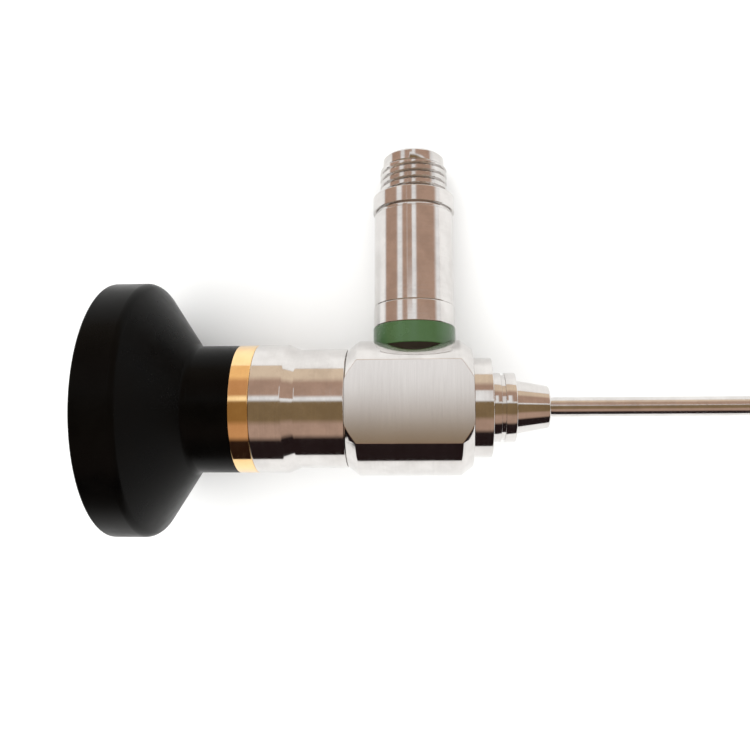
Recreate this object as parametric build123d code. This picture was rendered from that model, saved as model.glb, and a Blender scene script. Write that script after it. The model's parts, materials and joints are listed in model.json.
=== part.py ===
from build123d import *

import os
from math import asin, atan2, cos, degrees, hypot, radians, sin, sqrt, tan

# A small straight-view rigid endoscope, as it comes to rest on a table: on the rim of its
# eyecup, the end of its light post and the tip of its shaft. All sizes are in millimetres.
#
# Each piece is drawn on the bench first. There the optical axis is X, counted from the eye
# face of the eyecup towards the tip, the light post points along Y and the milled flat of
# the body faces Z. A place along the optical axis is called a station, and a place along the
# light post, counted from the optical axis, is called a reach.

# Fits
bond_gap = 0.02
edge_break = 0.12

# Eyecup, turned from black plastic
eyecup_diameter = 31.75
eyecup_rim_bore = 28.8
eyecup_rim_width = 4.75
eyecup_rim_edge = 0.35
eyecup_rim_rounding = 1.15
eyecup_cone_angle = 55.7
eyecup_wall = 2.2
eyecup_neck_diameter = 15.9
eyecup_neck_rounding = 1.0
eyecup_length = 15.5
eyecup_floor_ledge = 0.5

# Gold lock ring between the eyecup and the housing
gold_ring_diameter = 15.95
gold_ring_width = 2.4

# Ocular housing, one turned tube with a spigot at each end
housing_diameter = 15.95
housing_wide_length = 3.15
housing_taper_length = 1.45
housing_narrow_diameter = 14.75
housing_narrow_length = 6.5
housing_front_spigot_diameter = 13.2
housing_rear_spigot_diameter = 12.0
housing_rear_spigot_length = 4.0
housing_bore = 10.8
housing_web = 0.8
housing_web_bore = 9.2

# Eyepiece window with its ring and seal
window_ring_diameter = 11.8
window_ring_bore = 8.6
window_ring_thickness = 1.2
window_diameter = 10.8
window_thickness = 1.0
window_seal_bore = 9.8
window_seal_thickness = 0.4

# Ocular lens pair in its cell
ocular_cell_offset = 3.2
ocular_cell_length = 10.5
ocular_cell_wall = 0.75
ocular_cell_lip = 0.6
ocular_aperture = 7.8
ocular_crown_thickness = 3.2
ocular_crown_front_sag = 0.55
ocular_crown_back_sag = 0.9
ocular_flint_thickness = 1.2
ocular_retainer_thickness = 1.2
field_stop_offset = 1.8
field_stop_thickness = 0.6
field_stop_aperture = 1.7

# Body block, turned with a coned end each side, then milled flat front and back
block_length = 15.25
block_diameter = 16.7
block_end_diameter = 14.5
block_cone_length = 1.45
block_flat_height = 6.75
block_web = 1.0
block_web_bore = 4.0
chamber_diameter = 8.0

# Front collar, shaft ferrule and nose cone
collar_diameter = 12.3
collar_width = 2.3
collar_spigot_diameter = 9.2
collar_spigot_length = 3.0
collar_funnel_diameter = 6.0
collar_funnel_length = 2.0
ferrule_diameter = 8.5
ferrule_width = 2.9
ferrule_groove_offset = 1.1
ferrule_groove_width = 0.47
ferrule_groove_depth = 0.25
nose_base_diameter = 6.6
nose_tip_diameter = 5.1
nose_length = 4.1
nose_edge = 0.2

# Shaft: outer tube, light fibres and optical tube, one inside the other
shaft_diameter = 2.4
shaft_wall = 0.15
shaft_seat_relief = 0.05
shaft_seat_taper = 0.8
shaft_length = 100.0
shaft_edge = 0.08
optical_tube_diameter = 1.6
optical_tube_wall = 0.1
optical_tube_tail = 1.4
tube_bush_flange_diameter = 6.0
tube_bush_flange_thickness = 0.8

# Rod lens train and objective inside the optical tube
rod_count = 6
rod_spacer_length = 2.0
rod_spacer_wall = 0.14
rod_train_offset = 0.3
objective_window_thickness = 0.7
objective_lens_thickness = 0.9
objective_lens_sag = 0.14
objective_spacer_length = 0.5

# Light post: a threaded nipple clamps a stack of rings on a boss of the block
post_station = 37.2
post_boss_diameter = 10.2
post_boss_reach = 7.35
post_spot_face_diameter = 10.6
colour_ring_diameter = 10.3
colour_ring_height = 2.65
post_ring_diameter = 10.2
post_ring_height = 2.7
post_sleeve_diameter = 10.1
post_sleeve_height = 12.0
post_collar_diameter = 10.45
post_collar_height = 2.05
post_neck_diameter = 9.5
post_neck_height = 0.42
nipple_stem_diameter = 6.0
nipple_thread_diameter = 8.6
nipple_thread_pitch = 0.9
nipple_thread_turns = 4
nipple_thread_depth = 0.42
nipple_lead_diameter = 7.85
nipple_lead_height = 1.4
nipple_lead_chamfer = 0.3
post_seal_section = 0.6
post_ferrule_diameter = 3.0
post_ferrule_length = 6.5
fibre_diameter = 1.8
fibre_bend_radius = 4.2
fibre_gather_diameter = 4.6
fibre_gather_length = 4.0


# Stations along the optical axis, worked out from the sizes above

eyecup_radius = eyecup_diameter / 2
cone_slope = tan(radians(eyecup_cone_angle))
spigot_bore_radius = housing_front_spigot_diameter / 2 + bond_gap
recess_floor_radius = spigot_bore_radius + eyecup_floor_ledge
inner_cone_drop = eyecup_wall * sqrt(1 + cone_slope**2)
recess_station = (
    eyecup_rim_width
    + (eyecup_radius - inner_cone_drop - recess_floor_radius) / cone_slope
)
window_station = recess_station + window_ring_thickness
window_seal_station = window_station + window_thickness
web_station = window_seal_station + window_seal_thickness
cell_station = web_station + housing_web + ocular_cell_offset
lens_station = cell_station + ocular_cell_lip
ring_station = eyecup_length
housing_station = ring_station + gold_ring_width
taper_station = housing_station + housing_wide_length
narrow_station = taper_station + housing_taper_length
block_station = narrow_station + housing_narrow_length
spigot_end_station = block_station + housing_rear_spigot_length
chamber_station = spigot_end_station + bond_gap + block_web
block_end_station = block_station + block_length
collar_spigot_station = block_end_station - collar_spigot_length
shaft_start_station = collar_spigot_station + collar_funnel_length
ferrule_station = block_end_station + collar_width
nose_station = ferrule_station + ferrule_width
nose_end_station = nose_station + nose_length
shaft_free_station = nose_end_station + shaft_seat_taper
tip_station = nose_end_station + shaft_length
field_stop_station = block_station + field_stop_offset
optical_tube_station = spigot_end_station - optical_tube_tail
window_front_station = tip_station - objective_window_thickness

# Reaches along the light post

colour_ring_reach = post_boss_reach
post_ring_reach = colour_ring_reach + colour_ring_height
post_sleeve_reach = post_ring_reach + post_ring_height
post_neck_reach = post_sleeve_reach + post_sleeve_height
post_collar_reach = post_neck_reach + post_neck_height
nipple_head_reach = post_collar_reach + post_collar_height
nipple_lead_reach = nipple_head_reach + nipple_thread_pitch * (nipple_thread_turns + 0.5)
post_end_reach = nipple_lead_reach + nipple_lead_height

# Radii that fit one another

optical_tube_radius = optical_tube_diameter / 2
optical_bore_radius = optical_tube_radius - optical_tube_wall
shaft_radius = shaft_diameter / 2
shaft_bore_radius = shaft_radius - shaft_wall
shaft_seat_radius = shaft_radius - shaft_seat_relief
stem_radius = nipple_stem_diameter / 2
stem_bore_radius = stem_radius + bond_gap
fibre_radius = fibre_diameter / 2


def turned(*corners):
    """Turn a closed outline about the optical axis.

    A corner is (station, radius), or (station, radius, rounding) where it is rounded.
    """
    points = [(corner[0], corner[1]) for corner in corners]
    roundings = [corner[2] if len(corner) > 2 else 0 for corner in corners]
    outline = FilletPolyline(*points, radius=roundings, close=True)
    return revolve(make_face(outline), Axis.X)


def tube(start, end, radius, bore_radius):
    """Turn a plain tube with sharp edges."""
    return turned((start, bore_radius), (start, radius), (end, radius), (end, bore_radius))


def ring(start, end, radius, bore_radius):
    """Turn a plain ring that shows, its outer edges broken by a small chamfer."""
    return turned(
        (start, bore_radius),
        (start, radius - edge_break),
        (start + edge_break, radius),
        (end - edge_break, radius),
        (end, radius - edge_break),
        (end, bore_radius),
    )


def disc(start, end, radius):
    """Turn a solid disc or rod with plain ends."""
    return tube(start, end, radius, 0)


def on_post(piece):
    """Stand a piece, turned about X, on the light post's axis."""
    return Pos(post_station, 0, 0) * Rot(0, 0, 90) * piece


def lens_surface(vertex, edge_radius, sag):
    """Draw half of a lens surface from the axis to its edge.

    A positive sag moves the edge towards the tip, a negative one towards the eye.
    """
    if sag == 0:
        return Line((vertex, 0), (vertex, edge_radius))
    curve_radius = (edge_radius**2 + sag**2) / (2 * sag)
    half_angle = asin(edge_radius / abs(curve_radius)) / 2
    middle = (
        vertex + curve_radius * (1 - cos(half_angle)),
        abs(curve_radius) * sin(half_angle),
    )
    return ThreePointArc((vertex, 0), middle, (vertex + sag, edge_radius))


def lens(start, thickness, radius, front_sag, back_sag):
    """Turn a lens of a given centre thickness between two curved surfaces."""
    end = start + thickness
    front = lens_surface(start, radius, front_sag)
    back = lens_surface(end, radius, back_sag)
    barrel = Line((start + front_sag, radius), (end + back_sag, radius))
    axis_line = Line((start, 0), (end, 0))
    return revolve(make_face([front, barrel, back, axis_line]), Axis.X)


def eyecup():
    """Bell-shaped cup: straight rim, coned back, neck, and a recess of even wall."""
    neck_radius = eyecup_neck_diameter / 2
    neck_station = eyecup_rim_width + (eyecup_radius - neck_radius) / cone_slope
    rim_bore_radius = eyecup_rim_bore / 2
    recess_cone_station = (
        eyecup_rim_width
        + (eyecup_radius - inner_cone_drop - rim_bore_radius) / cone_slope
    )
    return turned(
        (eyecup_rim_edge, rim_bore_radius),
        (0, rim_bore_radius + eyecup_rim_edge),
        (0, eyecup_radius - eyecup_rim_edge),
        (eyecup_rim_edge, eyecup_radius),
        (eyecup_rim_width, eyecup_radius, eyecup_rim_rounding),
        (neck_station, neck_radius, eyecup_neck_rounding),
        (eyecup_length - edge_break, neck_radius),
        (eyecup_length, neck_radius - edge_break),
        (eyecup_length, spigot_bore_radius),
        (recess_station, spigot_bore_radius),
        (recess_station, recess_floor_radius),
        (recess_cone_station, rim_bore_radius),
    )


def ocular_housing():
    """Stepped tube that joins the eyecup to the block and holds the ocular parts."""
    wide = housing_diameter / 2
    narrow = housing_narrow_diameter / 2
    front = housing_front_spigot_diameter / 2
    rear = housing_rear_spigot_diameter / 2
    window_bore = window_ring_diameter / 2 + bond_gap
    bore = housing_bore / 2
    web_end = web_station + housing_web
    return turned(
        (recess_station, window_bore),
        (recess_station, front),
        (housing_station, front),
        (housing_station, wide - edge_break),
        (housing_station + edge_break, wide),
        (taper_station, wide),
        (narrow_station, narrow),
        (block_station - edge_break, narrow),
        (block_station, narrow - edge_break),
        (block_station, rear),
        (spigot_end_station, rear),
        (spigot_end_station, bore),
        (web_end, bore),
        (web_end, housing_web_bore / 2),
        (web_station, housing_web_bore / 2),
        (web_station, window_bore),
    )


def ocular_cell():
    """Thin cell with a lip in front, which the lens pair seats on."""
    radius = housing_bore / 2 - bond_gap
    bore = radius - ocular_cell_wall
    return turned(
        (cell_station, ocular_aperture / 2),
        (cell_station, radius),
        (cell_station + ocular_cell_length, radius),
        (cell_station + ocular_cell_length, bore),
        (lens_station, bore),
        (lens_station, ocular_aperture / 2),
    )


def ocular_pieces():
    """The window, the lens pair in its cell, and the field stop."""
    lens_radius = housing_bore / 2 - ocular_cell_wall - 2 * bond_gap
    crown_start = lens_station + bond_gap
    flint_start = crown_start + ocular_crown_thickness
    retainer_start = flint_start + ocular_flint_thickness
    stop_radius = housing_bore / 2 - bond_gap
    stop_end = field_stop_station + field_stop_thickness
    return {
        "window_ring": tube(
            recess_station, window_station, window_ring_diameter / 2, window_ring_bore / 2
        ),
        "eyepiece_window": disc(window_station, window_seal_station, window_diameter / 2),
        "window_seal": tube(
            window_seal_station, web_station, window_diameter / 2, window_seal_bore / 2
        ),
        "ocular_cell": ocular_cell(),
        "ocular_crown_lens": lens(
            crown_start,
            ocular_crown_thickness,
            lens_radius,
            ocular_crown_front_sag,
            -ocular_crown_back_sag,
        ),
        "ocular_flint_lens": lens(
            flint_start, ocular_flint_thickness, lens_radius, -ocular_crown_back_sag, 0
        ),
        "ocular_retainer": tube(
            retainer_start,
            retainer_start + ocular_retainer_thickness,
            lens_radius,
            ocular_aperture / 2,
        ),
        "field_stop": tube(
            field_stop_station, stop_end, stop_radius, field_stop_aperture / 2
        ),
    }


def body_block():
    """Turned body with coned ends, bored through, with a boss for the light post.

    The front and the back are milled flat from end to end.
    """
    radius = block_diameter / 2
    end_radius = block_end_diameter / 2
    turned_body = turned(
        (block_station, housing_rear_spigot_diameter / 2 + bond_gap),
        (block_station, end_radius),
        (block_station + block_cone_length, radius),
        (block_end_station - block_cone_length, radius),
        (block_end_station, end_radius),
        (block_end_station, collar_spigot_diameter / 2 + bond_gap),
        (collar_spigot_station - bond_gap, collar_spigot_diameter / 2 + bond_gap),
        (collar_spigot_station - bond_gap, chamber_diameter / 2),
        (chamber_station, chamber_diameter / 2),
        (chamber_station, block_web_bore / 2),
        (spigot_end_station + bond_gap, block_web_bore / 2),
        (spigot_end_station + bond_gap, housing_rear_spigot_diameter / 2 + bond_gap),
    )
    middle = block_station + block_length / 2
    flats = Pos(middle, 0, 0) * Box(block_length, block_diameter, 2 * block_flat_height)
    milled = turned_body & flats
    boss_root = housing_rear_spigot_diameter / 2 + edge_break
    boss = on_post(disc(boss_root, post_boss_reach, post_boss_diameter / 2))
    spot_face = on_post(disc(post_boss_reach, block_diameter, post_spot_face_diameter / 2))
    stem_hole = on_post(disc(0, block_diameter, stem_bore_radius))
    seal_start = post_boss_reach - post_seal_section
    seal_seat = on_post(
        disc(seal_start, post_boss_reach, stem_radius + post_seal_section)
    )
    return milled + boss - spot_face - stem_hole - seal_seat


def front_collar():
    """Flanged collar that closes the block and grips the outer tube."""
    flange = collar_diameter / 2
    spigot = collar_spigot_diameter / 2
    bore = shaft_seat_radius + bond_gap
    return turned(
        (collar_spigot_station, collar_funnel_diameter / 2),
        (collar_spigot_station, spigot),
        (block_end_station, spigot),
        (block_end_station, flange - edge_break),
        (block_end_station + edge_break, flange),
        (ferrule_station - edge_break, flange),
        (ferrule_station, flange - edge_break),
        (ferrule_station, bore),
        (shaft_start_station, bore),
    )


def shaft_ferrule():
    """Stepped ring in front of the collar, with one narrow groove round it."""
    radius = ferrule_diameter / 2
    groove_start = ferrule_station + ferrule_groove_offset
    groove_end = groove_start + ferrule_groove_width
    groove_radius = radius - ferrule_groove_depth
    bore = shaft_seat_radius + bond_gap
    return turned(
        (ferrule_station, bore),
        (ferrule_station, radius - edge_break),
        (ferrule_station + edge_break, radius),
        (groove_start, radius),
        (groove_start, groove_radius),
        (groove_end, groove_radius),
        (groove_end, radius),
        (nose_station - edge_break, radius),
        (nose_station, radius - edge_break),
        (nose_station, bore),
    )


def nose_cone():
    """Slim cone that leads from the ferrule down to the shaft."""
    bore = shaft_seat_radius + bond_gap
    nose_slope = (nose_base_diameter - nose_tip_diameter) / 2 / nose_length
    return turned(
        (nose_station, bore),
        (nose_station, nose_base_diameter / 2),
        (nose_end_station - nose_edge, nose_tip_diameter / 2 + nose_edge * nose_slope),
        (nose_end_station, nose_tip_diameter / 2 - nose_edge),
        (nose_end_station, bore),
    )


def tube_bush():
    """Flanged bush that centres the optical tube in the block's web."""
    flange_start = spigot_end_station + bond_gap - tube_bush_flange_thickness
    flange_end = spigot_end_station + bond_gap
    bore = optical_tube_radius + bond_gap
    body_radius = block_web_bore / 2 - bond_gap
    return turned(
        (flange_start, bore),
        (flange_start, tube_bush_flange_diameter / 2),
        (flange_end, tube_bush_flange_diameter / 2),
        (flange_end, body_radius),
        (chamber_station, body_radius),
        (chamber_station, bore),
    )


def outer_tube():
    """Outer tube of the shaft: turned down where it is held, its tip edge broken.

    A slight taper in front of the nose cone leads from the seat to the full diameter.
    """
    return turned(
        (shaft_start_station, shaft_bore_radius),
        (shaft_start_station, shaft_seat_radius),
        (nose_end_station, shaft_seat_radius),
        (shaft_free_station, shaft_radius),
        (tip_station - shaft_edge, shaft_radius),
        (tip_station, shaft_radius - shaft_edge),
        (tip_station, shaft_bore_radius),
    )


def fibre_bundle():
    """Light fibres: down the post, round a bend, gathered round the optical tube.

    In the shaft they fill the ring between the outer tube and the optical tube.
    """
    bend_end = post_station + fibre_bend_radius
    down = on_post(disc(fibre_bend_radius, post_end_reach, fibre_radius))
    section = Pos(post_station, fibre_bend_radius, 0) * Rot(90, 0, 0) * Circle(fibre_radius)
    bend_axis = Axis((bend_end, fibre_bend_radius, 0), (0, 0, 1))
    bend = revolve(section, bend_axis, 90)
    gather_start = shaft_start_station - fibre_gather_length
    ring_radius = shaft_bore_radius - bond_gap
    gathered = turned(
        (gather_start, 0),
        (gather_start, fibre_gather_diameter / 2),
        (shaft_start_station, ring_radius),
        (shaft_start_station, 0),
    )
    sleeve = disc(shaft_start_station, tip_station, ring_radius)
    tube_space = disc(optical_tube_station, tip_station, optical_tube_radius + bond_gap)
    return down + bend + gathered + sleeve - tube_space


def optical_train():
    """The optical tube with its rod lenses, spacers and objective."""
    inner_radius = optical_bore_radius - bond_gap
    lens_end = window_front_station
    front_lens = lens_end - objective_lens_thickness
    spacer_start = front_lens - objective_spacer_length
    rear_lens = spacer_start - objective_lens_thickness
    train_start = optical_tube_station + rod_train_offset
    train_end = rear_lens - rod_spacer_length
    spacers_total = rod_spacer_length * (rod_count - 1)
    rod_length = (train_end - train_start - spacers_total) / rod_count
    pieces = {
        "optical_tube": tube(
            optical_tube_station,
            window_front_station,
            optical_tube_radius,
            optical_bore_radius,
        ),
        "objective_window": disc(window_front_station, tip_station, optical_tube_radius),
        "objective_front_lens": lens(
            front_lens, objective_lens_thickness, inner_radius, objective_lens_sag, 0
        ),
        "objective_spacer": tube(
            spacer_start, front_lens, inner_radius, inner_radius - rod_spacer_wall
        ),
        "objective_rear_lens": lens(
            rear_lens, objective_lens_thickness, inner_radius, 0, -objective_lens_sag
        ),
    }
    for index in range(rod_count):
        rod_start = train_start + index * (rod_length + rod_spacer_length)
        rod_end = rod_start + rod_length
        spacer_end = rod_end + rod_spacer_length
        pieces[f"rod_lens_{index + 1}"] = disc(rod_start, rod_end, inner_radius)
        pieces[f"rod_spacer_{index + 1}"] = tube(
            rod_end, spacer_end, inner_radius, inner_radius - rod_spacer_wall
        )
    return pieces


def post_collar():
    """Top ring of the post stack, with a narrow neck under it."""
    radius = post_collar_diameter / 2
    neck = post_neck_diameter / 2
    return turned(
        (post_neck_reach, stem_bore_radius),
        (post_neck_reach, neck),
        (post_collar_reach, neck),
        (post_collar_reach, radius - edge_break),
        (post_collar_reach + edge_break, radius),
        (nipple_head_reach - edge_break, radius),
        (nipple_head_reach, radius - edge_break),
        (nipple_head_reach, stem_bore_radius),
    )


def post_nipple():
    """Nipple that screws into the block, with a thread and a plain lead on its head.

    The thread is drawn as rings, which leave the same crests and roots as its helix.
    """
    crest = nipple_thread_diameter / 2
    root = crest - nipple_thread_depth
    flank = nipple_thread_pitch / 2
    lead = nipple_lead_diameter / 2
    fibre_bore = fibre_radius + bond_gap
    ferrule_bore = post_ferrule_diameter / 2 + bond_gap
    ferrule_reach = post_end_reach - post_ferrule_length
    thread = []
    for turn in range(nipple_thread_turns):
        groove = nipple_head_reach + (turn + 0.5) * nipple_thread_pitch
        thread.append((groove, root))
        thread.append((groove + flank, crest))
    head_start = nipple_head_reach + bond_gap
    return turned(
        (chamber_diameter / 2, fibre_bore),
        (chamber_diameter / 2, stem_radius),
        (head_start, stem_radius),
        (head_start, root),
        *thread,
        (nipple_lead_reach, lead),
        (post_end_reach - nipple_lead_chamfer, lead),
        (post_end_reach, lead - nipple_lead_chamfer),
        (post_end_reach, ferrule_bore),
        (ferrule_reach, ferrule_bore),
        (ferrule_reach, fibre_bore),
    )


def post_pieces():
    """The stack of rings on the post, the nipple that clamps it, seal and ferrule."""
    seal_start = post_boss_reach - post_seal_section + bond_gap
    seal_radius = stem_radius + post_seal_section - bond_gap
    pieces = {
        "colour_ring": ring(
            colour_ring_reach, post_ring_reach, colour_ring_diameter / 2, stem_bore_radius
        ),
        "post_ring": ring(
            post_ring_reach, post_sleeve_reach, post_ring_diameter / 2, stem_bore_radius
        ),
        "post_sleeve": ring(
            post_sleeve_reach, post_neck_reach, post_sleeve_diameter / 2, stem_bore_radius
        ),
        "post_collar": post_collar(),
        "post_nipple": post_nipple(),
        "post_seal": tube(seal_start, post_boss_reach, seal_radius, stem_bore_radius),
        "post_ferrule": tube(
            post_end_reach - post_ferrule_length,
            post_end_reach,
            post_ferrule_diameter / 2,
            fibre_radius + bond_gap,
        ),
    }
    return {name: on_post(piece) for name, piece in pieces.items()}


def rest_placement():
    """Lay the bench model on a table: eyecup rim, post end and shaft tip touch it.

    The pitch drops the tip until it touches with the rim. The roll then drops the post
    about the line through those two points until its end touches as well.
    """
    rim_station = eyecup_rim_width - rim_corner_setback()
    rim_ring = eyecup_radius - eyecup_rim_rounding
    along = (tip_station - shaft_edge) - rim_station
    across = rim_ring - shaft_radius
    pitch = asin(eyecup_rim_rounding / hypot(along, across)) + atan2(across, along)
    floor_drop = rim_station * sin(pitch) + rim_ring * cos(pitch) + eyecup_rim_rounding
    height = floor_drop - post_station * sin(pitch)
    post_rims = [
        (nipple_head_reach - edge_break, post_collar_diameter / 2),
        (post_end_reach - nipple_lead_chamfer, nipple_lead_diameter / 2),
        (post_end_reach, nipple_lead_diameter / 2 - nipple_lead_chamfer),
    ]
    rolls = []
    for reach, radius in post_rims:
        dip = asin(height / hypot(reach, radius)) - atan2(radius, reach)
        rolls.append(asin(sin(dip) / cos(pitch)))
    return Rot(0, degrees(pitch), 0) * Rot(-degrees(min(rolls)), 0, 0)


def rim_corner_setback():
    """Distance from the rim's sharp corner back to where its rounding begins."""
    return eyecup_rim_rounding * tan(radians(eyecup_cone_angle) / 2)


bench = {
    "eyecup": eyecup(),
    "gold_ring": ring(
        ring_station, housing_station, gold_ring_diameter / 2, spigot_bore_radius
    ),
    "ocular_housing": ocular_housing(),
    **ocular_pieces(),
    "body_block": body_block(),
    "front_collar": front_collar(),
    "shaft_ferrule": shaft_ferrule(),
    "nose_cone": nose_cone(),
    "tube_bush": tube_bush(),
    "outer_tube": outer_tube(),
    "fibre_bundle": fibre_bundle(),
    **optical_train(),
    **post_pieces(),
}

laid = rest_placement()
extent = Compound(children=[laid * piece for piece in bench.values()]).bounding_box()
centred = Pos(-extent.center().X, -extent.center().Y, -extent.min.Z)
placement = centred * laid

os.makedirs("parts", exist_ok=True)
for name, piece in bench.items():
    export_step(placement * piece, f"parts/{name}.step")
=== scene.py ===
"""A small rigid endoscope that lies on a pale table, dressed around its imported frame.

The pieces that show are turned and milled here in fine meshes, in the places of the solids
they stand for. They are drawn on the bench, where X runs along the optical axis from the eye
face of the eyecup, Y runs along the light post and Z faces out of the milled flat, and are
then laid in the row frame. Bench sizes are in millimetres, and meshes are in metres.
"""

from __future__ import annotations

import json
import logging
import math
from dataclasses import dataclass
from enum import Enum
from typing import Any, Callable

import bmesh
import bpy
from mathutils import Matrix, Vector

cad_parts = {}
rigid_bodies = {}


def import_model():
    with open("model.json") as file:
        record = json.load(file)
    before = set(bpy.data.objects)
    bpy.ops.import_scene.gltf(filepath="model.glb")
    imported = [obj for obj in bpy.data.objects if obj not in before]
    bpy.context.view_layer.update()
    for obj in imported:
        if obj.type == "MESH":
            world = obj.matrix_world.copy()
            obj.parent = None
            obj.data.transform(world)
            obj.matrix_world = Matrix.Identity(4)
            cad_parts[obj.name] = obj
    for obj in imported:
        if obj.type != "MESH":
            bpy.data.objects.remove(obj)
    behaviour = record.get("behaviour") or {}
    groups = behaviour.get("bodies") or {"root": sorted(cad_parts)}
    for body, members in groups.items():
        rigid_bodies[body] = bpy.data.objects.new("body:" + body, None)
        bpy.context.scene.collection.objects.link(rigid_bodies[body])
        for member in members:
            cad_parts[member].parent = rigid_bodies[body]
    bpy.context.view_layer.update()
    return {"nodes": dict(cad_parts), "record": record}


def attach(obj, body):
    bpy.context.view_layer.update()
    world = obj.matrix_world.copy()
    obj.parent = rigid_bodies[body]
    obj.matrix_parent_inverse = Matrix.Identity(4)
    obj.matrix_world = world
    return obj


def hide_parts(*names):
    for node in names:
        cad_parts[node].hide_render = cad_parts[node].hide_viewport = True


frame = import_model()

MM = 0.001
NEAR = 1e-7
SAME_PLACE = 1e-6
SQUARE = 1e-3
BODY = "root"
Colour = tuple[float, float, float]
Piece = bpy.types.Object
Material = bpy.types.Material
Socket = bpy.types.NodeSocket

log = logging.getLogger("endoscope")


class Lie(Enum):
    """The bench axis that a turned piece or a grain runs along."""

    SCOPE = "X"
    POST = "Y"

    def stretch(self, along: float, across: float) -> Colour:
        """Give how many patches of a noise go in a metre, along this axis and across it."""
        return (along, across, across) if self is Lie.SCOPE else (across, along, across)


class Cut(Enum):
    """What a tool body does to the piece that it is applied to."""

    ADD = "UNION"
    REMOVE = "DIFFERENCE"


@dataclass(frozen=True)
class Bench:
    """Where the bench stands in the row frame, read from the record's mounts."""

    matrix: Matrix

    @classmethod
    def from_record(cls, record: dict[str, Any]) -> Bench:
        """Work the bench's place out from the eyepiece rim, the shaft and the light post.

        Args:
            record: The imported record.

        Returns:
            The bench, with its matrix from bench metres to row metres.
        """
        mounts = {mount["name"]: mount for mount in record["mounts"]}
        along = Vector(mounts["shaft"]["axis"]).normalized()
        post = Vector(mounts["light_post_collar"]["axis"]).normalized()
        out = along.cross(post).normalized()
        cup = Eyecup()
        rim_middle = (cup.rim_edge + cup.rim_width - cup.setback(cup.corner_rounding)) / 2
        origin = Vector(mounts["eyepiece_rim"]["pos_m"]) - along * (rim_middle * MM)
        turn = Matrix((along, post, out)).transposed().to_4x4()
        return cls(Matrix.Translation(origin) @ turn)

    def place(self, lie: Lie, station: float = 0.0) -> Matrix:
        """Give the matrix that lays a piece, turned about Z, on one of the bench axes.

        Args:
            lie: The axis that the piece's own Z is laid along.
            station: Where a post piece stands along the optical axis.

        Returns:
            The matrix from the piece's own metres to row metres.
        """
        if lie is Lie.SCOPE:
            return self.matrix @ Matrix.Rotation(math.radians(90), 4, "Y")
        stand = Matrix.Translation((station * MM, 0, 0))
        return self.matrix @ stand @ Matrix.Rotation(math.radians(-90), 4, "X")


@dataclass(frozen=True)
class Corner:
    """One corner of a turned outline: its station, radius and the width of its rounding."""

    station: float
    radius: float
    rounding: float = 0.0
    steps: int = 3


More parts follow.
